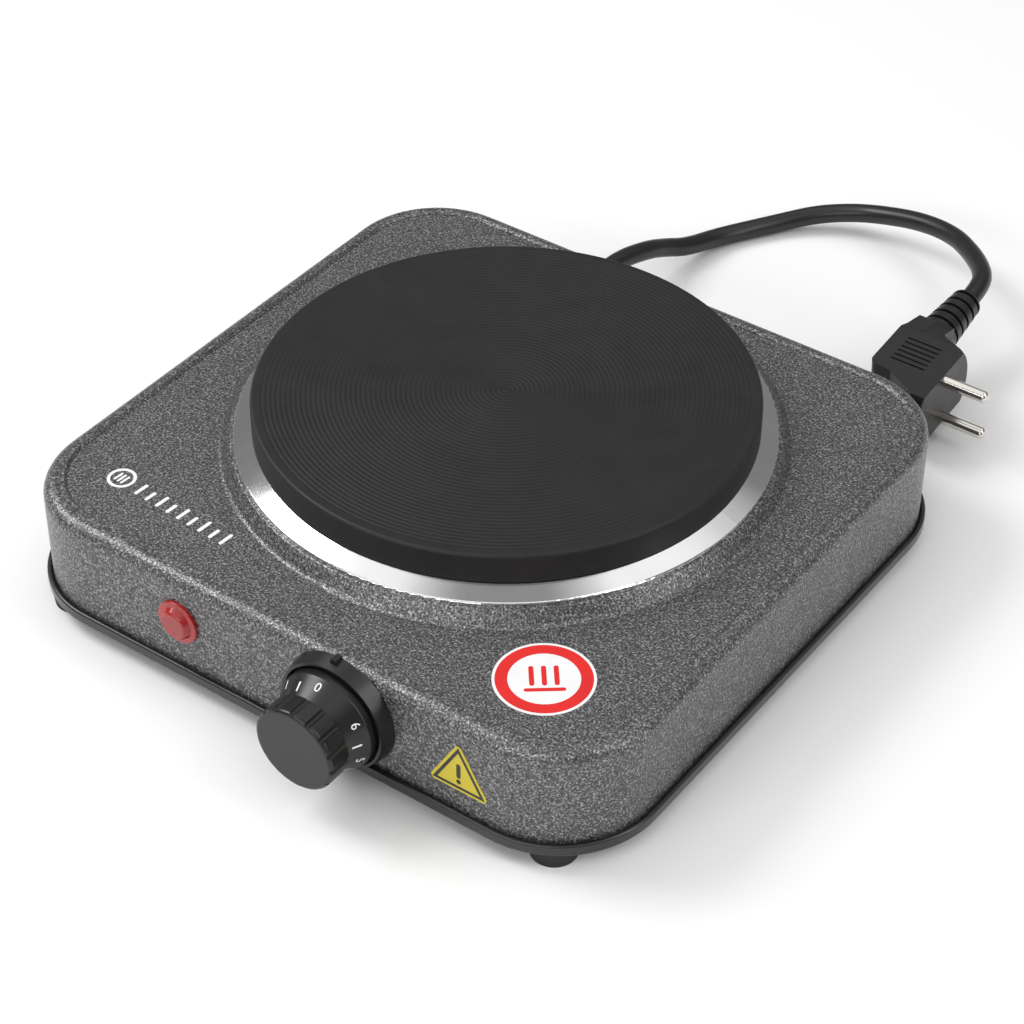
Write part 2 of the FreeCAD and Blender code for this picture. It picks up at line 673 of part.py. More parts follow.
def heating():
    """Wound coils bedded in the plate's channels, and the pad and cover that close them."""
    fills, coils = [], []
    for middle in ("channel_inner", "channel_outer"):
        coil = doc.addObject("Part::Torus", "Coil")
        bind(coil, "Radius1", middle)
        bind(coil, "Radius2", "coil_radius")
        place(coil, y="burner_offset", z="core_bottom + channel_depth / 2")
        coils.append(coil)
        outer = cylinder("FillOuter", f"{middle} + channel_width / 2", "channel_depth",
                         y="burner_offset", z="core_bottom")
        inner = cylinder("FillInner", f"{middle} - channel_width / 2", "channel_depth",
                         y="burner_offset", z="core_bottom")
        fills.append(less("Fill", outer, [inner, coil]))
    node(group("Coils", coils), "heating_coils")
    node(group("Fills", fills), "channel_filler")
    low = "core_bottom - shield_depth"
    pad_piece = turned("insulation_pad", [
        ("stud_radius + 0.6", f"{low} + shield_sheet"), ("shield_radius - shield_sheet", f"{low} + shield_sheet"),
        ("shield_radius - shield_sheet", "core_bottom"), ("stud_radius + 0.6", "core_bottom")])
    place(pad_piece, y="burner_offset")
    shield = turned("plate_shield", [
        ("stud_radius + 0.6", low), ("shield_radius", low), ("shield_radius", "core_bottom"),
        ("shield_radius - shield_sheet", "core_bottom"), ("shield_radius - shield_sheet", f"{low} + shield_sheet"),
        ("stud_radius + 0.6", f"{low} + shield_sheet")])
    place(shield, y="burner_offset")


def trim_ring():
    """Stainless spill ring: a collar in the opening, a flat under the plate's rim and a slope."""
    bore = "core_radius + 0.6"
    under = "plate_lip - trim_sheet"
    ring = turned("trim_ring", [
        (bore, "plate_lip - trim_collar"), (f"{bore} + trim_sheet", "plate_lip - trim_collar"),
        (f"{bore} + trim_sheet", under), ("trim_seat", under),
        ("trim_reach - 1.6", f"{under} - trim_drop"), ("trim_reach - 1.6", SEAT),
        ("trim_reach", SEAT), ("trim_reach", f"plate_lip - trim_drop - 0.1", "0.7"),
        ("trim_seat", "plate_lip"), (bore, "plate_lip")])
    place(ring, y="burner_offset")
    return ring


def clamp():
    """Stud, washer and nut that pull the plate down on to its seat through a sprung bridge."""
    bridge = new_body("clamp_bridge")
    side = sketch_on(bridge, "BridgeSide", "XZ_Plane")
    leg, toe = "bridge_leg", "(bridge_leg + bridge_foot)"
    left = [(f"-{toe}", CEILING), (f"-{leg} + bridge_sheet", CEILING), (f"-{leg} + bridge_sheet", BRIDGE_TOP)]
    right = [(f"{leg} - bridge_sheet", BRIDGE_TOP), (f"{leg} - bridge_sheet", CEILING), (toe, CEILING),
             (toe, f"{CEILING} - bridge_sheet"), (leg, f"{CEILING} - bridge_sheet"), (leg, BRIDGE_BOTTOM)]
    close = [(f"-{leg}", BRIDGE_BOTTOM), (f"-{leg}", f"{CEILING} - bridge_sheet"),
             (f"-{toe}", f"{CEILING} - bridge_sheet")]
    pad(bridge, outline(side, left + right + close), "bridge_width", middle=True)
    hole = sketch_on(bridge, "BridgeHole", lift=BRIDGE_TOP)
    circle(hole, "0", "0", "stud_radius + 0.3")
    pocket(bridge, hole, "bridge_sheet * 2")
    place(bridge, y="burner_offset")
    node(bridge, "clamp_bridge")

    top = "core_bottom + stud_grip"
    node(cylinder("Stud", "stud_radius", "stud_length", y="burner_offset", z=f"{top} - stud_length"),
         "centre_stud")
    washer = cylinder("Washer", "washer_radius", "washer_sheet", y="burner_offset",
                      z=f"{BRIDGE_BOTTOM} - washer_sheet")
    washer_bore = cylinder("WasherBore", "stud_radius + 0.2", "washer_sheet * 3", y="burner_offset",
                           z=f"{BRIDGE_BOTTOM} - washer_sheet * 2")
    node(less("StudWasher", washer, [washer_bore]), "stud_washer")
    nut = doc.addObject("Part::Prism", "Nut")
    nut.Polygon = 6
    bind(nut, "Circumradius", "nut_radius")
    bind(nut, "Height", "nut_height")
    nut_bottom = f"{BRIDGE_BOTTOM} - washer_sheet - nut_height"
    place(nut, y="burner_offset", z=nut_bottom)
    nut_bore = cylinder("NutBore", "stud_radius + 0.02", "nut_height * 3", y="burner_offset",
                        z=f"{nut_bottom} - nut_height")
    node(less("StudNut", nut, [nut_bore]), "stud_nut")


def plate_connector():
    """Ceramic block under the plate's cover, with a terminal for each lead."""
    node(brick("ConnectorBlock", "connector_width", "connector_depth", "connector_height", "connector_x",
               "connector_y", CONNECTOR), "plate_connector")
    tabs = [brick("Tab", "tab_sheet", "tab_width", "tab_length", f"connector_x + {i} * terminal_pitch",
                  "connector_y", f"{CONNECTOR} - tab_length") for i in (-1, 0, 1)]
    node(group("PlateTabs", tabs), "plate_terminals")


# ---------------------------------------------------------------- knob and thermostat

def at_control(piece):
    return place(piece, "control_x", FRONT, "control_z", TO_FRONT)


def bezel():
    body = new_body("knob_bezel")
    inner_lip = "bezel_lip - bezel_wall"
    inner_foot = "bezel_foot - bezel_wall * 1.4"
    turn(body, outline(sketch_on(body, "BezelOutline", "XZ_Plane"), [
        ("hub_radius", "0"), ("bezel_foot", "0"), ("bezel_lip", "bezel_depth"), (inner_lip, "bezel_depth"),
        (inner_foot, "bezel_floor"), ("hub_radius", "bezel_floor")]))
    nub = sketch_on(body, "NubPlan")
    rectangle(nub, "nub_width", "nub_width * 1.5", "nub_width * 0.3", "0", "bezel_foot - 0.4")
    pad(body, nub, "bezel_depth * 0.6")
    holes = sketch_on(body, "BezelHoles")
    for side in (-1, 1):
        circle(holes, f"{side} * fixing_pitch / 2", "0", "fixing_radius + 0.1")
    pocket(body, holes, "bezel_floor + 1", upward=True)
    flat = sketch_on(body, "BezelFlat")
    drop = f"(control_z - {HEM_TOP} - 0.1)"
    rectangle(flat, "bezel_foot * 2", "bezel_foot", None, "0", f"-{drop} - bezel_foot / 2")
    pocket(body, flat, "bezel_depth * 2", upward=True)
    node(at_control(body), "knob_bezel")


def knob():
    body = new_body("control_knob")
    bore = "shaft_radius + shaft_play"
    turn(body, outline(sketch_on(body, "KnobOutline", "XZ_Plane"), [
        (bore, "skirt_back + 1"), ("hub_radius", "skirt_back + 1"), ("hub_radius", "dial_front - 4"),
        ("grip_root - 2.2", "dial_front - 4"), ("skirt_radius - 1.8", "skirt_back + 2.4"),
        ("skirt_radius - 1.8", "skirt_back"), ("skirt_radius", "skirt_back"),
        ("skirt_radius", "skirt_front", "0.6"), ("grip_root", "dial_front"), ("grip_radius", "dial_front + 0.4"),
        ("grip_radius", "knob_reach", "1.5"), ("0", "knob_reach"), ("0", "shaft_front + 0.5"),
        (bore, "shaft_front + 0.5")]))
    flute = sketch_on(body, "FlutePlan", lift="knob_reach + 1")
    circle(flute, "0", "grip_radius + flute_radius * 0.2", "flute_radius")
    cut = pocket(body, flute, "knob_reach - dial_front + 0.9")
    repeat(body, cut, "Z_Axis", "grip_flutes")
    node(at_control(body), "control_knob")

    clip = new_body("knob_clip")
    clip_plan = sketch_on(clip, "ClipPlan", lift="skirt_back + 2")
    rectangle(clip_plan, "clip_width", "0.5", None, "0", "shaft_flat + 0.3")
    pad(clip, clip_plan, "shaft_front - skirt_back - 4")
    node(at_control(clip), "knob_spring_clip")


def shaft_and_cam():
    shaft = new_body("control_shaft")
    foot = f"-{CAVITY} - case_depth"
    rod = sketch_on(shaft, "ShaftPlan", lift=foot)
    circle(rod, "0", "0", "shaft_radius")
    pad(shaft, rod, f"shaft_front - ({foot})")
    flat = sketch_on(shaft, "ShaftFlat", lift="shaft_front")
    rectangle(flat, "shaft_radius * 3", "shaft_radius", None, "0", "shaft_flat + shaft_radius / 2")
    pocket(shaft, flat, "shaft_front - skirt_back")
    node(at_control(shaft), "control_shaft")

    # the cam's radius grows evenly over the knob's turn, then falls back to off
    base, lift, sweep = value("cam_radius"), value("cam_lift"), value("cam_sweep")
    steps = 24
    rising = [Vector(math.cos(a), math.sin(a), 0) * (base + lift * k / steps)
              for k in range(steps + 1) for a in [math.pi / 2 + math.radians(sweep * k / steps)]]
    curve = Part.BSplineCurve()
    curve.interpolate(rising)
    mid = math.pi / 2 + math.radians((sweep + 360) / 2)
    bulge = Vector(math.cos(mid), math.sin(mid), 0) * (base + lift / 2)
    fall = Part.Arc(rising[-1], bulge, rising[0]).toShape()
    face = Part.Face(Part.Wire([curve.toShape(), fall]))
    disc = face.extrude(Vector(0, 0, value("cam_sheet")))
    disc.translate(Vector(0, 0, -value("cam_back + cam_sheet / 2")))
    hole = Part.makeCylinder(value("shaft_radius"), 100, Vector(0, 0, -50))
    cam = made("thermostat_cam", disc.cut(hole))
    cam.Placement = Placement(Vector(value("control_x"), value(FRONT), value("control_z")), TO_FRONT)


def thermostat():
    back = f"(-{CAVITY})"
    plate = new_body("thermostat_plate")
    plan = sketch_on(plate, "MountPlan", lift=back)
    rectangle(plan, "case_width", "case_height", "2")
    pad(plate, plan, "plate_sheet")
    holes = sketch_on(plate, "MountHoles", lift=f"{back} - 1")
    circle(holes, "0", "0", "shaft_radius + shaft_play")
    for side in (-1, 1):
        circle(holes, f"{side} * fixing_pitch / 2", "0", "fixing_radius + 0.02")
    pocket(plate, holes, "plate_sheet + 2", upward=True)
    node(at_control(plate), "thermostat_plate")

    case = new_body("thermostat_case")
    shell = sketch_on(case, "CasePlan", lift=f"{back} - case_depth")
    rectangle(shell, "case_width", "case_height", "2")
    pad(case, shell, "case_depth")
    room = sketch_on(case, "CaseRoom", lift=back)
    rectangle(room, "case_width - 2 * case_wall", "case_height - 2 * case_wall")
    pocket(case, room, "case_depth - case_wall")
    bearing = sketch_on(case, "CaseBearing", lift=f"{back} - case_depth - 1")
    circle(bearing, "0", "0", "shaft_radius + shaft_play")
    pocket(case, bearing, "case_wall + 2", upward=True)
    node(at_control(case), "thermostat_case")

    screws = []
    for side in (-1, 1):
        x = f"control_x + {side} * fixing_pitch / 2"
        head = cylinder("FixingHead", "fixing_radius * 1.8", "1.8", x,
                        f"{FRONT} - bezel_floor", "control_z", TO_FRONT)
        shank = cylinder("FixingShank", "fixing_radius", f"bezel_floor + {CAVITY} + 2", x,
                         f"{FRONT} + {CAVITY} + 2", "control_z", TO_FRONT)
        screws.append(joined("Fixing", [head, shank]))
    node(group("Fixings", screws), "thermostat_screws")

    # lever above the cam: pivot on one side, moving contact on the other
    low = "(cam_radius + lever_gap)"
    rail = f"({low} + lever_nose)"
    lever = new_body("contact_lever")
    slab = sketch_on(lever, "LeverPlan", lift="-cam_back - cam_sheet / 2")
    outline(slab, [("-lever_arm", rail), ("-1", rail), ("-1", low), ("1", low), ("1", rail),
                   ("lever_arm", rail), ("lever_arm", f"{rail} + lever_sheet"),
                   ("-lever_arm", f"{rail} + lever_sheet")])
    pad(lever, slab, "cam_sheet")
    boss = sketch_on(lever, "LeverBoss", lift="-cam_back - cam_sheet / 2")
    circle(boss, "-lever_arm", f"{rail} + lever_sheet / 2", "lever_sheet")
    pad(lever, boss, "cam_sheet")
    eye = sketch_on(lever, "LeverEye", lift="-cam_back - cam_sheet / 2 - 1")
    circle(eye, "-lever_arm", f"{rail} + lever_sheet / 2", "pivot_radius + shaft_play")
    pocket(lever, eye, "cam_sheet + 2", upward=True)
    node(at_control(lever), "contact_lever")
    pivot_y = f"control_z + {rail} + lever_sheet / 2"
    node(cylinder("PivotPin", "pivot_radius", "case_depth - case_wall", "control_x - lever_arm",
                  f"{FRONT} + {CAVITY} + case_depth - case_wall", pivot_y, TO_FRONT), "lever_pivot_pin")
    tip_x = "control_x + lever_arm - 1.5"
    node(cylinder("MovingContact", "contact_radius", "contact_sheet", tip_x, f"{FRONT} + cam_back",
                  f"control_z + {rail} + lever_sheet"), "moving_contact")
    roof = "control_z + case_height / 2 - case_wall"
    contact_low = f"control_z + {rail} + lever_sheet + contact_sheet + contact_travel"
    post = cylinder("FixedContactTip", "contact_radius", f"{roof} - ({contact_low})", tip_x,
                    f"{FRONT} + cam_back", contact_low)
    node(post, "fixed_contact")
    tabs = [brick("CaseTab", "tab_width", "case_tab_length", "tab_sheet", f"control_x + {i} * case_tab_x",
                  f"{FRONT} + {CAVITY} + case_depth + case_tab_length / 2", "control_z + case_tab_z")
            for i in (-1, 1)]
    node(group("CaseTabs", tabs), "thermostat_terminals")


# ---------------------------------------------------------------- lamp

def lamp():
    def at_lamp(piece):
        return place(piece, "lamp_x", FRONT, "control_z", TO_FRONT)

    at_lamp(turned("lamp_lens", [
        ("0", "lamp_height - 1.2"), ("lamp_stem - 1.2", "lamp_height - 2"), ("lamp_stem - 1.2", "-lamp_depth"),
        ("lamp_stem", "-lamp_depth"), ("lamp_stem", "0"), ("lamp_flange", "0"), ("lamp_flange", "1.3", "0.5"),
        ("lamp_flange - 2", "1.5"), ("lamp_flange - 3.4", "lamp_height", "1.2"), ("0", "lamp_height")]))
    at_lamp(turned("neon_bulb", [
        ("0", "-lamp_depth"), ("3", "-lamp_depth"), ("3", "0.6", "1.8"), ("0", "0.6")]))
    at_lamp(turned("lamp_clip", [
        ("lamp_stem + 0.05", "-sheet_wall - 0.8"), ("lamp_flange - 0.4", "-sheet_wall - 0.8"),
        ("lamp_flange - 0.4", "-sheet_wall"), ("lamp_stem + 0.05", "-sheet_wall")]))


# ---------------------------------------------------------------- cord entry and wiring

def cord_entry():
    bore = "cord_radius + 0.05"
    gland = turned("cord_gland", [
        (bore, "-sheet_wall - 3"), ("gland_neck", "-sheet_wall - 3"), ("gland_neck", "0"),
        ("gland_flange", "0"), ("gland_flange", "2.4", "0.8"), ("gland_neck", "2.4"),
        ("gland_tip", "gland_reach", "0.6"), (bore, "gland_reach")])
    place(gland, "cord_x", BACK, "cord_z", TO_BACK)
    node(cylinder("CordTail", "cord_radius", "gland_reach + tail_length", "cord_x",
                  f"{BACK} - tail_length", "cord_z", TO_BACK), "cord_tail")
    lock = cylinder("LockRing", "gland_flange", "lock_sheet", "cord_x",
                    f"{BACK} - sheet_wall - lock_sheet", "cord_z", TO_BACK)
    lock_bore = cylinder("LockBore", "gland_neck", "10", "cord_x", f"{BACK} - 8", "cord_z", TO_BACK)
    node(less("GlandLock", lock, [lock_bore]), "gland_lock_ring")

    clamp_y = f"{BACK} - tail_length + clamp_length / 2 + 2"
    saddle = brick("ClampSaddle", "clamp_width", "clamp_length", f"cord_z - {FLOOR}", "cord_x", clamp_y, FLOOR)
    groove = cylinder("SaddleGroove", "cord_radius", "clamp_length * 3", "cord_x",
                      f"{BACK} - tail_length - clamp_length", "cord_z", TO_BACK)
    node(less("Saddle", saddle, [groove]), "clamp_saddle")
    hump = cylinder("StrapHump", "cord_radius + strap_sheet", "clamp_length * 0.8", "cord_x",
                    f"{clamp_y} - clamp_length * 0.4", "cord_z", TO_BACK)
    ears = brick("StrapEars", "clamp_width", "clamp_length * 0.8", "strap_sheet", "cord_x", clamp_y, "cord_z")
    under = brick("StrapUnder", "clamp_width * 2", "clamp_length * 3", "20", "cord_x", clamp_y, "cord_z - 20")
    node(less("Strap", joined("StrapBlank", [hump, ears]), [under, groove]), "clamp_strap")
    screws = []
    for side in (-1, 1):
        x = f"cord_x + {side} * (clamp_width / 2 - 4)"
        screws.append(cylinder("ClampScrew", "clamp_screw", "strap_sheet * 1.5", x, clamp_y, "cord_z + strap_sheet"))
    node(group("ClampScrews", screws), "clamp_screws")

    block_y = f"{BACK} - tail_length - block_gap - block_depth / 2"
    node(brick("TerminalBlock", "block_width", "block_depth", "block_height", "cord_x", block_y, FLOOR),
         "terminal_block")
    heads = [cylinder("TerminalScrew", "terminal_screw", "strap_sheet", f"cord_x + {i} * terminal_pitch",
                      f"{block_y} + {j} * block_depth / 4", f"{FLOOR} + block_height")
             for i in (-1, 0, 1) for j in (-1, 1)]
    node(group("TerminalScrews", heads), "terminal_screws")


def wiring():
    """Three conductors fan out from the cord's tail, and leads run on from the block."""
    tail = f"{BACK} - tail_length"
    face = f"{BACK} - tail_length - block_gap"
    rear = f"{BACK} - tail_length - block_gap - block_depth"
    entry = f"{FLOOR} + block_height / 2"
    for label, i, dz in (("live_conductor", -1, 0.9), ("neutral_conductor", 1, 0.9),
                         ("earth_conductor", 0, -1.5)):
        lead(label, [(f"cord_x + {i} * 1.5", tail, f"cord_z + {dz}"),
                     (f"cord_x + {i} * 2.5", f"{tail} - 4", f"cord_z + {dz} - 0.6"),
                     (f"cord_x + {i} * 10", f"{face} + 4", f"{entry} + 0.4"),
                     (f"cord_x + {i} * terminal_pitch", face, entry)])
    low = f"{FLOOR} + 6"
    case_back = f"{FRONT} + {CAVITY} + case_depth"
    tab_end = f"{CONNECTOR} - tab_length"
    lead("live_lead", [("cord_x - terminal_pitch", rear, entry),
                       ("cord_x - terminal_pitch", f"{rear} - 12", entry),
                       ("cord_x - 6", "0", low), ("-30", f"{case_back} + 45", low),
                       ("control_x - 14", f"{case_back} + 22", "control_z - 6"),
                       ("control_x - case_tab_x", f"{case_back} + case_tab_length", TAB_MIDDLE)])
    lead("switched_lead", [("control_x + case_tab_x", f"{case_back} + case_tab_length", TAB_MIDDLE),
                           ("control_x + 12", f"{case_back} + 24", "control_z - 4"),
                           ("control_x + 2", "-20", f"{low} + 3"), ("-22", "24", f"{low} + 6"),
                           ("connector_x + terminal_pitch", "connector_y - 2", f"{tab_end} - 8"),
                           ("connector_x + terminal_pitch", "connector_y", tab_end)])
    lead("neutral_lead", [("cord_x + terminal_pitch", rear, entry),
                          ("cord_x + terminal_pitch", f"{rear} - 9", entry),
                          ("connector_x - terminal_pitch - 1", "connector_y + 2", f"{entry} + 4"),
                          ("connector_x - terminal_pitch", "connector_y", tab_end)])
    lead("earth_lead", [("cord_x", rear, entry), ("cord_x", f"{rear} - 6", entry),
                        ("cord_x - 4", f"{rear} - 17", f"{entry} + 8"),
                        ("earth_x + 3", "burner_offset + 18", f"{BRIDGE_BOTTOM} - 17"),
                        ("earth_x", "burner_offset", f"{BRIDGE_BOTTOM} - 11"),
                        ("earth_x", "burner_offset", f"{BRIDGE_BOTTOM} - earth_sheet")])
    node(cylinder("EarthScrew", "earth_head", "earth_sheet", "earth_x", "burner_offset",
                  f"{BRIDGE_BOTTOM} - earth_sheet"), "earth_screw")
    lamp_back = f"{FRONT} + lamp_depth"
    lead("lamp_lead_live", [("lamp_x + 1.6", lamp_back, "control_z"),
                            ("lamp_x + 1.6", f"{lamp_back} + 12", "control_z"),
                            ("-12", f"{case_back} + 16", f"{low} + 4"),
                            ("control_x + 8", f"{case_back} + 9", "control_z - 8"),
                            ("control_x + case_tab_x", f"{case_back} + case_tab_length / 2", "control_z - 2"),
                            ("control_x + case_tab_x", f"{case_back} + case_tab_length / 2",
                             "control_z + case_tab_z")])
    lead("lamp_lead_neutral", [("lamp_x - 1.6", lamp_back, "control_z"),
                               ("lamp_x - 1.6", f"{lamp_back} + 14", "control_z"),
                               ("lamp_x - 2", "-62", f"{low} + 6"), ("-46", "0", f"{low} + 4"),
                               ("connector_x", "connector_y - 1", f"{tab_end} - 9"),
                               ("connector_x", "connector_y", tab_end)])


# ---------------------------------------------------------------- cord and plug

# the cord's route from the gland's end to the ribbed sleeve of the plug
CORD_ROUTE = [
    (-49.8, 182.8, 15.4),
    (-45.6, 199.6, 9.9),
    (-39.6, 216.6, 6.2),
    (-30.2, 240.2, 4.3),
    (-14.6, 260.6, 4.4),
    (6.4, 272.6, 7.8),
    (31.6, 272.6, 12.8),
    (59.4, 255.6, 17.6),
    (74.8, 245.4, 24.1),
]


def plug_spot(along, across, behind):
    """A point of the plug, given along its cord, up from it, and behind its face."""
    lean = math.radians(value("plug_roll"))
    centre = Vector(value("plug_x"), value("plug_y"), value("plug_radius"))
    return (centre + Vector(-behind, along * math.cos(lean) - across * math.sin(lean),
                            along * math.sin(lean) + across * math.cos(lean)))


def supply_cord():
    start = Vector(value("cord_x"), value(f"{BACK} + gland_reach"), value("cord_z"))
    finish = plug_spot(value("neck_end"), 0, value("neck_back"))
    out = start + Vector(0, value("cord_straight"), 0)
    back = plug_spot(value("neck_end + cord_straight"), 0, value("neck_back"))
    points = [start, out] + [Vector(*spot) for spot in CORD_ROUTE] + [back, finish]
    solid, length, radii = tube(points, value("cord_radius"))
    print(f"cord length {length:.1f}, bend radii", " ".join(f"{r:.0f}" for r in radii))
    made("supply_cord", solid)


def in_plug(piece):
    lean = math.radians(value("plug_roll"))
    along = Vector(0, math.cos(lean), math.sin(lean))
    across = Vector(0, -math.sin(lean), math.cos(lean))
    frame = Rotation(along, across, Vector(1, 0, 0), "ZXY")
    return place(piece, "plug_x", "plug_y", "plug_radius", frame)


def plug():
    body = new_body("plug_body")
    turn(body, outline(sketch_on(body, "PlugDisc", "XZ_Plane"), [
        ("0", "-plug_rim - 6"), ("plug_radius - 5", "-plug_rim - 6"), ("plug_radius - 0.8", "-plug_rim"),
        ("plug_radius", "-plug_rim + 1"), ("plug_radius", "0", "0.9"), ("0", "0")]))
    flats = sketch_on(body, "DiscFlats")
    for side in (-1, 1):
        rectangle(flats, "plug_radius * 3", "plug_radius", None, "0", f"{side} * (grip_half + plug_radius / 2)")
    pocket(body, flats, "plug_rim * 3")
    grip = sketch_on(body, "PlugGrip", "XZ_Plane")
    outline(grip, [("-plug_radius + 5", "-1"), ("-plug_radius + 5", "-plug_rim"), ("-grip_far - 1", "-19"),
                   ("-grip_far", "-plug_depth + 1", "3"), ("grip_near", "-plug_depth + 1", "1.5"),
                   ("grip_near + 4", NECK_LOW, "3"), ("neck_start", NECK_LOW), ("neck_start", NECK_HIGH),
                   ("grip_near + 5", NECK_HIGH, "3"), ("plug_radius - 4", "-1")])
    pad(body, grip, "grip_half * 2", middle=True)
    for side in (-1, 1):
        ribs = sketch_on(body, "FingerRib", "XZ_Plane", lift=f"{side} * grip_half")
        rectangle(ribs, "rib_width", "rib_length", "rib_width / 2 - 0.02", "-grip_far + 6", "-rib_back")
        repeat(body, pocket(body, ribs, "rib_depth", upward=side < 0), "X_Axis", "rib_count", "rib_span")
    for side in (-1, 1):
        slope = sketch_on(body, "NeckSlope",)
        outline(slope, [("grip_near", f"{side} * (grip_half + 0.01)"),
                        ("neck_start + 0.01", f"{side} * (neck_radius - 0.4)"),
                        ("neck_start + 0.01", f"{side} * (grip_half + 0.01)")])
        pocket(body, slope, "plug_depth * 2")
    sleeve = sketch_on(body, "PlugSleeve", "XZ_Plane", rise="-neck_back")
    corners = [("neck_start - 12", "0"), ("neck_start - 12", "grip_half - 0.6"), ("neck_start", "neck_radius")]
    step = "(neck_end - neck_start) / neck_ribs"
    for number in range(int(value("neck_ribs"))):
        near = f"neck_start + ({number} + 0.45) * {step}"
        far = f"neck_start + ({number} + 0.72) * {step}"
        outer = f"neck_radius - (neck_radius - neck_tip) * ({number} + 0.5) / neck_ribs"
        corners += [(near, outer), (near, f"{outer} - 1.4"), (far, f"{outer} - 1.4"), (far, outer)]
    corners += [("neck_end", "neck_tip", "0.8"), ("neck_end", "0")]
    turn(body, outline(sleeve, corners), axis="H_Axis")
    node(in_plug(body), "plug_body")

    pins = new_body("plug_pins")
    holes = sketch_on(pins, "PinPlan")
    for side in (-1, 1):
        circle(holes, "0", f"{side} * pin_pitch / 2", "pin_radius")
    rods = pad(pins, holes, "pin_length")
    soften(pins, rods, ("pin_length",), "pin_radius * 0.8")
    node(in_plug(pins), "plug_pins")


# ---------------------------------------------------------------- labels

def labels():
    node(cylinder("RoundLabel", "round_label", "label_sheet", "round_label_x", "round_label_y", PANEL),
         "round_label")
    third = "triangle_side / sqrt(3)"
    body = new_body("triangle_label")
    plan = sketch_on(body, "TrianglePlan")
    outline(plan, [(f"{third} * cos({a})", f"{third} * sin({a})", "1.6") for a in (90, 210, 330)])
    pad(body, plan, "label_sheet")
    place(body, "triangle_x", FRONT, "triangle_z", TO_FRONT)
    node(body, "triangle_label")


top_housing()
base_pan()
feet()
trim_ring()
hot_plate()
heating()
clamp()
plate_connector()
bezel()
knob()
shaft_and_cam()
thermostat()
lamp()
cord_entry()
wiring()
supply_cord()
plug()
labels()
doc.recompute()

failed = [thing.Name for thing in doc.Objects if {"Invalid", "Error"} & set(thing.State)]
for piece in nodes:
    if piece.Shape.isNull() or not piece.Shape.isValid() or piece.Shape.Volume <= 0:
        failed.append(piece.Label)
if failed:
    raise RuntimeError("failed: " + ", ".join(failed))

os.makedirs("parts", exist_ok=True)
for piece in nodes:
    piece.Shape.exportStep(f"parts/{piece.Label}.step")
print(len(nodes), "nodes written")
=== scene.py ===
import json
import math

import bmesh
import bpy
from mathutils import Matrix, Vector


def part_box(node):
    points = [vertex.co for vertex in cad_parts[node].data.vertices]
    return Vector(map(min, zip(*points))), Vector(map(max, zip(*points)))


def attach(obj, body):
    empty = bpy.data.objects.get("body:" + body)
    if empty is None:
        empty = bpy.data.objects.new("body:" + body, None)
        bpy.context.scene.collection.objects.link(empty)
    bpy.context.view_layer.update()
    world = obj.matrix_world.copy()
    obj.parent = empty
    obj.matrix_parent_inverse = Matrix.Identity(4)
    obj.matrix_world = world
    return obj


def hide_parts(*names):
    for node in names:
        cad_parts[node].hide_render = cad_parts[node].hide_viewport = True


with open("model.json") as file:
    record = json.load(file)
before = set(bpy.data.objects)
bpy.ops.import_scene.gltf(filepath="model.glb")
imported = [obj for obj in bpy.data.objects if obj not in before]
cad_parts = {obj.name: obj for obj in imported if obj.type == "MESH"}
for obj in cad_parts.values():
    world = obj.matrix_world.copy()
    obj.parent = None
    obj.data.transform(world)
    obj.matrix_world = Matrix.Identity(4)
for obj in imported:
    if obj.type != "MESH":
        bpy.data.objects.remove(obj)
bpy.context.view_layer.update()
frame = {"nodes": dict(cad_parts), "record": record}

MM = 0.001

# ---------------------------------------------------------------- camera

camera = bpy.data.objects.new("camera", bpy.data.cameras.new("camera"))
bpy.context.collection.objects.link(camera)
camera.data.lens = 96.15
camera.data.sensor_width = 36.0
camera.data.clip_start = 0.01
camera.matrix_world = Matrix((
    (0.81066, -0.37592, 0.44890, 0.46088),
    (0.58551, 0.51670, -0.62467, -0.62868),
    (0.00288, 0.76922, 0.63897, 0.66614),
    (0, 0, 0, 1)))
bpy.context.scene.camera = camera
bpy.context.scene.view_settings.view_transform = "Standard"

# ---------------------------------------------------------------- node materials


def finish(name, color, roughness, metallic=0.0, **sockets):
    """A material whose shader sockets are set directly. Returns it with its node tree and shader."""
    material = bpy.data.materials.new(name)
    material.use_nodes = True
    shader = material.node_tree.nodes["Principled BSDF"]
    shader.inputs["Base Color"].default_value = (*color, 1)
    shader.inputs["Roughness"].default_value = roughness
    shader.inputs["Metallic"].default_value = metallic
    for socket, number in sockets.items():
        shader.inputs[socket.replace("_", " ")].default_value = number
    return material


def noise(material, size, detail=3.0, rough=0.55):
    """Noise with grains of about size metres, in the object's own coordinates."""
    nodes, links = material.node_tree.nodes, material.node_tree.links
    place = nodes.new("ShaderNodeTexCoord")
    scale = nodes.new("ShaderNodeMapping")
    scale.inputs["Scale"].default_value = [1 / size] * 3
    texture = nodes.new("ShaderNodeTexNoise")
    texture.inputs["Scale"].default_value = 1.0
    texture.inputs["Detail"].default_value = detail
    texture.inputs["Roughness"].default_value = rough
    links.new(place.outputs["Object"], scale.inputs["Vector"])
    links.new(scale.outputs["Vector"], texture.inputs["Vector"])
    return texture.outputs["Fac"]


def ramp(owner, factor, stops):
    """A colour ramp with (position, colour) stops, in the nodes of a material or the world."""
    node = owner.node_tree.nodes.new("ShaderNodeValToRGB")
    elements = node.color_ramp.elements
    while len(elements) < len(stops):
        elements.new(0.5)
    for element, (position, color) in zip(elements, stops):
        element.position = position
        element.color = (*color, 1)
    owner.node_tree.links.new(factor, node.inputs["Fac"])
    return node.outputs["Color"]


def paint(material, factor, stops):
    shader = material.node_tree.nodes["Principled BSDF"]
    material.node_tree.links.new(ramp(material, factor, stops), shader.inputs["Base Color"])


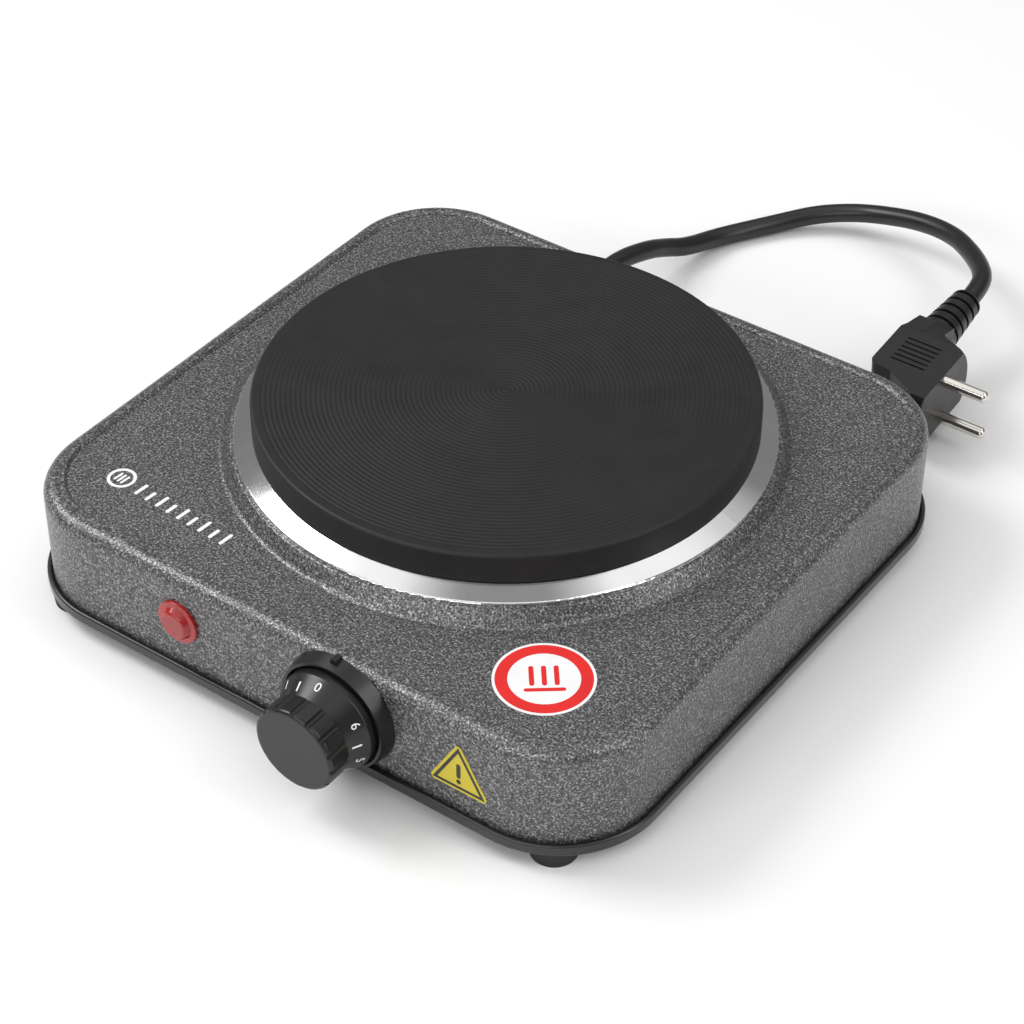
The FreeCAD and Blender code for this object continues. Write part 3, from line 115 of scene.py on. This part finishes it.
def wear(material, factor, low, high):
    """Roughness that follows a noise."""
    nodes, links = material.node_tree.nodes, material.node_tree.links
    spread = nodes.new("ShaderNodeMapRange")
    spread.inputs["From Min"].default_value = 0.3
    spread.inputs["From Max"].default_value = 0.7
    spread.inputs["To Min"].default_value = low
    spread.inputs["To Max"].default_value = high
    links.new(factor, spread.inputs["Value"])
    links.new(spread.outputs["Result"], nodes["Principled BSDF"].inputs["Roughness"])


def relief(material, factor, depth, strength=1.0):
    """Bump of a depth in metres."""
    nodes, links = material.node_tree.nodes, material.node_tree.links
    bump = nodes.new("ShaderNodeBump")
    bump.inputs["Distance"].default_value = depth
    bump.inputs["Strength"].default_value = strength
    links.new(factor, bump.inputs["Height"])
    normal = nodes["Principled BSDF"].inputs["Normal"]
    if normal.is_linked:
        links.new(normal.links[0].from_socket, bump.inputs["Normal"])
    links.new(bump.outputs["Normal"], normal)


def hammertone():
    """Hammertone paint with a fine pebbled skin: a grey body with painted shade in the dark pits and painted
    highlights on the lighter crests.
    """
    coat = finish("hammertone_coat", (0.13, 0.13, 0.13), 0.36, 0.5, Specular_IOR_Level=0.6)
    fine = noise(coat, 0.75 * MM, detail=2, rough=0.5)
    # the same noise as the bump: its low end is painted shade in the pits, its high end painted highlight on
    # the crests
    paint(coat, fine, [(0.36, (0.045, 0.045, 0.046)), (0.48, (0.1, 0.1, 0.102)), (0.58, (0.18, 0.18, 0.183)),
                       (0.7, (0.42, 0.42, 0.425))])
    wear(coat, noise(coat, 1.3 * MM), 0.24, 0.44)
    relief(coat, fine, 0.35 * MM, 0.6)
    return coat


def cast_iron():
    """Blackened iron, a little uneven, with a fine matt grain."""
    iron = finish("blackened_iron", (0.014, 0.014, 0.0143), 0.5, 0.0, Specular_IOR_Level=0.3)
    broad = noise(iron, 14 * MM, detail=3)
    paint(iron, broad, [(0.3, (0.012, 0.012, 0.0123)), (0.7, (0.016, 0.016, 0.0164))])
    wear(iron, broad, 0.44, 0.54)
    relief(iron, noise(iron, 0.5 * MM, detail=4), 0.03 * MM, 0.4)
    return iron


def plain_finish(name, color, roughness, metallic=0.0, grain=0.4, depth=0.02, spread=0.14, **sockets):
    """A colour that varies a little, with a fine grain."""
    material = finish(name, color, roughness, metallic, **sockets)
    broad = noise(material, 9 * MM, detail=4)
    paint(material, broad, [(0.3, [c * (1 - spread) for c in color]),
                            (0.7, [min(1, c * (1 + spread)) for c in color])])
    wear(material, broad, roughness * 0.88, min(1.0, roughness * 1.15))
    relief(material, noise(material, grain * MM, detail=3), depth * MM, 0.5)
    return material


FINISHES = {
    "hammertone_coat": hammertone(),
    "cast_iron": cast_iron(),
    "black_enamel": plain_finish("black_enamel_gloss", (0.008, 0.008, 0.0083), 0.3, 0.0, 1.2, 0.03,
                                 Coat_Weight=0.3, Coat_Roughness=0.2),
    "stainless": plain_finish("polished_stainless", (0.76, 0.76, 0.76), 0.1, 1.0, 0.3, 0.001, 0.03),
    "zinc_steel": plain_finish("zinc_plate", (0.5, 0.5, 0.49), 0.34, 1.0, 0.6, 0.01, 0.1),
    "rubber_black": plain_finish("black_rubber", (0.008, 0.008, 0.0083), 0.6, 0.0, 0.5, 0.04),
    "knob_black": plain_finish("satin_phenolic", (0.007, 0.007, 0.0073), 0.32, 0.0, 0.28, 0.015),
    # the red lens gets a faint red emission: a painted glow on the unlit lamp
    "lens_red": plain_finish("red_lens_painted_glow", (0.3, 0.008, 0.008), 0.22, 0.0, 1.5, 0.02, 0.2, Coat_Weight=0.4,
                             Coat_Roughness=0.12, Emission_Color=(0.8, 0.03, 0.03, 1),
                             Emission_Strength=0.05),
    "bulb_glass": plain_finish("lamp_glass", (0.9, 0.5, 0.35), 0.08, 0.0, 2.0, 0.004, 0.05,
                               Transmission_Weight=0.8),
    "ceramic": plain_finish("steatite", (0.72, 0.68, 0.6), 0.6, 0.0, 0.5, 0.03, 0.06),
    "insulating_powder": plain_finish("pressed_magnesia", (0.66, 0.64, 0.6), 0.95, 0.0, 0.3, 0.08, 0.08),
    "resistance_wire": plain_finish("oxidised_wire", (0.25, 0.23, 0.21), 0.5, 0.9, 0.4, 0.02),
    "mineral_pad": plain_finish("mineral_fibre", (0.55, 0.53, 0.48), 0.98, 0.0, 0.8, 0.2, 0.12),
    "brass": plain_finish("plain_brass", (0.68, 0.5, 0.2), 0.28, 1.0, 0.5, 0.01, 0.1),
    "pvc_black": plain_finish("cord_sheath", (0.007, 0.007, 0.0073), 0.36, 0.0, 0.5, 0.015),
    "wire_brown": plain_finish("brown_insulation", (0.16, 0.06, 0.025), 0.42),
    "wire_blue": plain_finish("blue_insulation", (0.02, 0.09, 0.4), 0.42),
    "wire_green": plain_finish("green_insulation", (0.12, 0.36, 0.04), 0.42),
    "wire_white": plain_finish("glass_sleeving", (0.72, 0.7, 0.64), 0.8, 0.0, 0.4, 0.08),
    "terminal_plastic": plain_finish("natural_nylon", (0.66, 0.64, 0.58), 0.45),
    "pin_nickel": plain_finish("nickel_plate", (0.74, 0.71, 0.66), 0.16, 1.0, 0.5, 0.002, 0.04),
    "label_white": plain_finish("white_film", (0.82, 0.82, 0.82), 0.35, 0.0, 0.8, 0.01, 0.03),
    "label_yellow": plain_finish("yellow_film", (0.62, 0.5, 0.03), 0.38, 0.0, 0.8, 0.01, 0.06),
}
PRINT_RED = plain_finish("print_red", (0.68, 0.01, 0.008), 0.5, 0.0, 0.8, 0.01, 0.05)
PRINT_WHITE = plain_finish("print_white", (0.85, 0.85, 0.84), 0.5, 0.0, 0.5, 0.02, 0.04)
PRINT_DARK = plain_finish("print_dark", (0.03, 0.03, 0.025), 0.5, 0.0, 0.5, 0.02)

for part in frame["record"]["subparts"]:
    node = frame["nodes"][part["node"]]
    node.data.materials.clear()
    node.data.materials.append(FINISHES[part["material_slot"]])

# ---------------------------------------------------------------- cord

# the cord's route from the gland's end to the plug's ribbed sleeve, in millimetres
CORD_ROUTE = [
    (-54.0, 149.5, 19.6), (-54.0, 162.0, 19.6), (-50.4, 179.7, 16.7), (-49.2, 190.9, 12.1),
    (-45.0, 201.9, 7.9), (-41.0, 221.7, 4.1), (-25.8, 245.1, 4.3), (-14.4, 256.3, 7.2),
    (-2.3, 263.0, 9.5), (11.0, 266.5, 12.0), (32.1, 264.9, 17.6), (50.8, 259.5, 21.0),
    (65.9, 248.0, 23.6), (77.9, 234.5, 26.3), (81.9, 223.5, 26.95), (81.9, 213.1, 25.85),
]
CORD_RADIUS = 4.0 * MM


def spline_through(name, route, bevel):
    """A round tube along one open NURBS spline, with the route's points as its control points."""
    data = bpy.data.curves.new(name, "CURVE")
    data.dimensions = "3D"
    spline = data.splines.new("NURBS")
    spline.points.add(len(route) - 1)
    for point, spot in zip(spline.points, route):
        point.co = (*(c * MM for c in spot), 1)
    spline.order_u = 3
    spline.use_endpoint_u = True
    spline.resolution_u = 16
    data.bevel_depth = bevel
    data.bevel_resolution = 8
    data.use_fill_caps = True
    return bpy.data.objects.new(name, data)


cord = spline_through("supply_cord_sheath", CORD_ROUTE, CORD_RADIUS)
bpy.context.collection.objects.link(cord)
cord.data.materials.append(FINISHES["pvc_black"])
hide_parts("supply_cord")
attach(cord, "root")

# ---------------------------------------------------------------- printed marks


def mesh_piece(name, material, body="root"):
    """An empty mesh object that rides on a body. The caller fills it."""
    piece = bpy.data.objects.new(name, bpy.data.meshes.new(name))
    bpy.context.collection.objects.link(piece)
    piece.data.materials.append(material)
    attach(piece, body)
    return piece


def printed(piece, polygons, spot, thickness=0.05 * MM):
    """Thin raised print. Each polygon is a list of (u, v) in millimetres, or an (outer, inner) pair
    of lists of equal length. spot(u, v) gives a point of the surface and its normal."""
    mesh = bmesh.new()

    def layer(points, height):
        made = []
        for u, v in points:
            place, normal = spot(u * MM, v * MM)
            made.append(mesh.verts.new(place + normal * height))
        return made

    for polygon in polygons:
        ring = isinstance(polygon, tuple)
        loops = polygon if ring else (polygon,)
        low = [layer(loop, -0.02 * MM) for loop in loops]
        high = [layer(loop, thickness) for loop in loops]
        count = len(loops[0])
        for bottom, top in zip(low, high):
            for i in range(count):
                j = (i + 1) % count
                mesh.faces.new((bottom[i], bottom[j], top[j], top[i]))
        if ring:
            for rows in (low, high):
                for i in range(count):
                    j = (i + 1) % count
                    mesh.faces.new((rows[0][i], rows[0][j], rows[1][j], rows[1][i]))
        else:
            mesh.faces.new(low[0])
            mesh.faces.new(high[0])
    bmesh.ops.recalc_face_normals(mesh, faces=mesh.faces)
    mesh.to_mesh(piece.data)
    mesh.free()


def disc(radius, count=96, x=0.0, y=0.0):
    return [(x + radius * math.cos(2 * math.pi * i / count), y + radius * math.sin(2 * math.pi * i / count))
            for i in range(count)]


def bar(x0, y0, x1, y1, width):
    """A bar with round ends from one point to another."""
    along = Vector((x1 - x0, y1 - y0)).normalized()
    turn = math.atan2(along.y, along.x)
    half = width / 2
    points = []
    for cx, cy, start in ((x1, y1, -math.pi / 2), (x0, y0, math.pi / 2)):
        points += [(cx + half * math.cos(turn + start + math.pi * k / 8),
                    cy + half * math.sin(turn + start + math.pi * k / 8)) for k in range(9)]
    return points


def flat_spot(centre, right, up):
    normal = right.cross(up)
    return lambda u, v: (centre + right * u + up * v, normal)


# round label on the sunk panel: a red ring round three upright bars over a line
low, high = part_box("round_label")
label_middle = Vector(((low[0] + high[0]) / 2, (low[1] + high[1]) / 2, high[2]))
lean = math.radians(38)
on_label = flat_spot(label_middle, Vector((math.cos(lean), math.sin(lean), 0)),
                     Vector((-math.sin(lean), math.cos(lean), 0)))
ring = mesh_piece("round_label_print", PRINT_RED)
printed(ring, [(disc(16.4), disc(12.2)), bar(-6.2, -5.2, 6.2, -5.2, 1.6)]
        + [bar(x, -2.4, x, 5.4, 1.7) for x in (-4.2, 0.0, 4.2)], on_label)


# triangular label on the front wall: a dark border and an exclamation mark
def triangle(side):
    reach = side / math.sqrt(3)
    return [(reach * math.cos(math.radians(a)), reach * math.sin(math.radians(a))) for a in (90, 210, 330)]


low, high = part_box("triangle_label")
centre = Vector(((low[0] + high[0]) / 2, low[1], low[2] + (high[2] - low[2]) * 0.355))
on_front = flat_spot(centre, Vector((1, 0, 0)), Vector((0, 0, 1)))
border = mesh_piece("triangle_label_print", PRINT_DARK)
printed(border, [(triangle(21.5), triangle(17.5)), bar(0, -0.6, 0, 4.2, 1.7), disc(0.95, 24, 0, -3.0)],
        on_front)

# plain badge on the sunk panel, in front of the plate: a ring round three bars, then a row of bars
badge = mesh_piece("panel_badge", PRINT_WHITE)
badge_lean = math.radians(-4.4)
along = Vector((math.cos(badge_lean), math.sin(badge_lean), 0))
badge_middle = Vector((-0.0972, -0.0918, label_middle.z - 0.15 * MM))
on_panel = flat_spot(badge_middle, along, Vector((0, 0, 1)).cross(along))
badge_bars = [bar(10 + 5.3 * i, -2.6, 10 + 5.3 * i, 2.6 - 1.2 * (i % 2), 1.4) for i in range(9)]
printed(badge, [(disc(5.4), disc(4.2))] + [bar(x, -1.9, x, 1.9, 0.9) for x in (-1.7, 0, 1.7)] + badge_bars,
        on_panel)

# ---------------------------------------------------------------- dial marks

KNOB_AXIS = Vector((28.0, -123.3, 30.5)) * MM
CONE_BACK, CONE_FRONT = (19.2, 8.9), (15.2, 16.6)


def on_cone(angle, rise):
    """A spot of the dial cone: the angle clockwise from its top, and millimetres up its slope."""
    (r0, d0), (r1, d1) = CONE_BACK, CONE_FRONT
    slope = math.hypot(r1 - r0, d1 - d0)
    radius = r0 + (r1 - r0) * rise / slope
    depth = d0 + (d1 - d0) * rise / slope
    out = Vector((math.sin(angle), 0, math.cos(angle)))
    normal = (out * (d1 - d0) + Vector((0, -1, 0)) * (r0 - r1)).normalized()
    return KNOB_AXIS + (out * radius + Vector((0, -depth, 0))) * MM, normal, radius


def dial_print(name, text, angle, rise, height):
    """A numeral wrapped on the dial cone, its foot towards the grip."""
    data = bpy.data.curves.new(name, "FONT")
    data.body = text
    data.size = 1.0
    data.align_x, data.align_y = "CENTER", "CENTER"
    letters = bpy.data.objects.new(name + "_flat", data)
    bpy.context.collection.objects.link(letters)
    mesh = bpy.data.meshes.new_from_object(letters.evaluated_get(bpy.context.evaluated_depsgraph_get()))
    bpy.data.objects.remove(letters)
    shape = bmesh.new()
    shape.from_mesh(mesh)
    bmesh.ops.remove_doubles(shape, verts=shape.verts, dist=1e-5)
    top = bmesh.ops.extrude_face_region(shape, geom=list(shape.faces))["geom"]
    raised = {v for v in top if isinstance(v, bmesh.types.BMVert)}
    for vert in shape.verts:
        u, v = vert.co.x * height, vert.co.y * height
        place, normal, radius = on_cone(angle, rise)
        place, normal, radius = on_cone(angle + u / radius, rise - v)
        vert.co = place + normal * (0.06 * MM if vert in raised else -0.05 * MM)
    bmesh.ops.recalc_face_normals(shape, faces=shape.faces)
    piece = mesh_piece(name, PRINT_WHITE, "knob")
    shape.to_mesh(piece.data)
    shape.free()


# numerals run against the knob's turn, so that each one comes up to the bezel's nub
DIAL_STEP = math.radians(-50)
for number in range(7):
    dial_print(f"dial_numeral_{number}", str(number), DIAL_STEP * number, 3.4, 4.6)


DIAL_RADIUS = 17.2


def dial_spot(u, v):
    """A point of the dial cone for print laid out along a circle of DIAL_RADIUS, in metres."""
    place, normal, _ = on_cone(u / (DIAL_RADIUS * MM), v / MM)
    return place, normal


ticks = mesh_piece("dial_ticks", PRINT_WHITE, "knob")
tick_places = [DIAL_RADIUS * DIAL_STEP * (n + 0.5) for n in range(6)]
printed(ticks, [bar(u, 3.4, u, 6.4, 0.7) for u in tick_places], dial_spot)

# ---------------------------------------------------------------- floor and light

floor = bpy.data.objects.new("floor", bpy.data.meshes.new("floor"))
bpy.context.collection.objects.link(floor)
floor.data.from_pydata([(-6, -6, 0), (6, -6, 0), (6, 6, 0), (-6, 6, 0)], [], [(0, 1, 2, 3)])
floor.data.materials.append(finish("pale_floor", (0.9, 0.9, 0.9), 0.85))

world = bpy.data.worlds.new("studio")
bpy.context.scene.world = world
world.use_nodes = True
background = world.node_tree.nodes["Background"]
background.inputs["Strength"].default_value = 1.1
# a broad bright ceiling over darker walls, with a dimmer patch straight above
ceiling = [(0.6, 0.22), (0.84, 1.05), (0.95, 1.05), (0.99, 0.3)]
nodes, links = world.node_tree.nodes, world.node_tree.links
facing = nodes.new("ShaderNodeTexCoord")
height = nodes.new("ShaderNodeSeparateXYZ")
links.new(facing.outputs["Generated"], height.inputs["Vector"])
greys = ramp(world, height.outputs["Z"], [(position, (grey, grey, grey)) for position, grey in ceiling])
links.new(greys, background.inputs["Color"])

LIT_MIDDLE = Vector((0, 0, 0.03))


def lamp(name, place, size, power):
    """A soft rectangular light that faces the middle of the object."""
    light = bpy.data.objects.new(name, bpy.data.lights.new(name, "AREA"))
    bpy.context.collection.objects.link(light)
    light.data.shape = "RECTANGLE"
    light.data.size, light.data.size_y = size
    light.data.energy = power
    light.location = place
    light.rotation_euler = (LIT_MIDDLE - Vector(place)).to_track_quat("-Z", "Y").to_euler()


lamp("key_light", (-1.2, -0.3, 1.3), (0.8, 0.8), 16)
lamp("front_light", (0.1, -1.5, 0.9), (1.6, 0.35), 9)
lamp("side_light", (1.4, 0.2, 0.9), (0.35, 1.4), 7)
